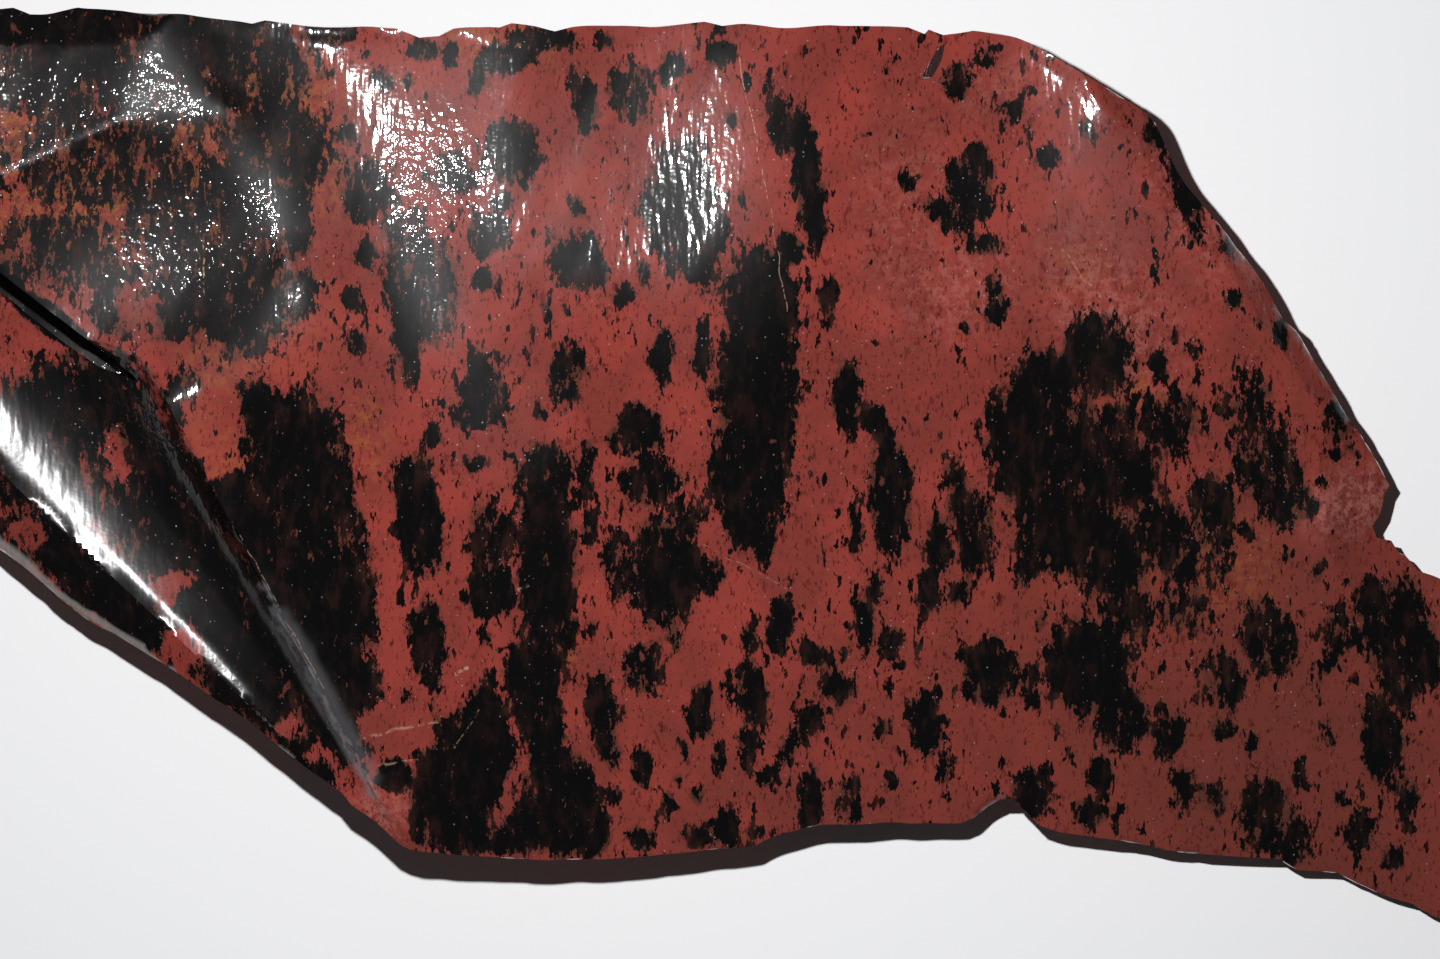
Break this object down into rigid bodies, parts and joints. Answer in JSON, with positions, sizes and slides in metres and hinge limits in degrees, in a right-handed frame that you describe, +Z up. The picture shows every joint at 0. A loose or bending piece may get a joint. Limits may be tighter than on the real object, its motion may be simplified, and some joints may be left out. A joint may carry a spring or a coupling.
{
  "type": "obsidian chunk",
  "caption": "Long flat chunk of mahogany obsidian with glossy shell-like breaks, a stepped flute at the thick end and thin chipped margins, lying flat as a display stone.",
  "frame": {"origin": "On the plane that the stone rests on, under the middle of its bounding box.", "axes": "+X along the stone's length towards its thin end, +Y across it towards the long straight edge, +Z up from the surface that it rests on."},
  "size_m": [0.1328, 0.0658, 0.016],
  "materials": {
    "mahogany_obsidian": "glossy, red-brown with black patches"
  },
  "bodies": {
    "root": {"obsidian_chunk": "mahogany_obsidian"}
  },
  "joints": []
}
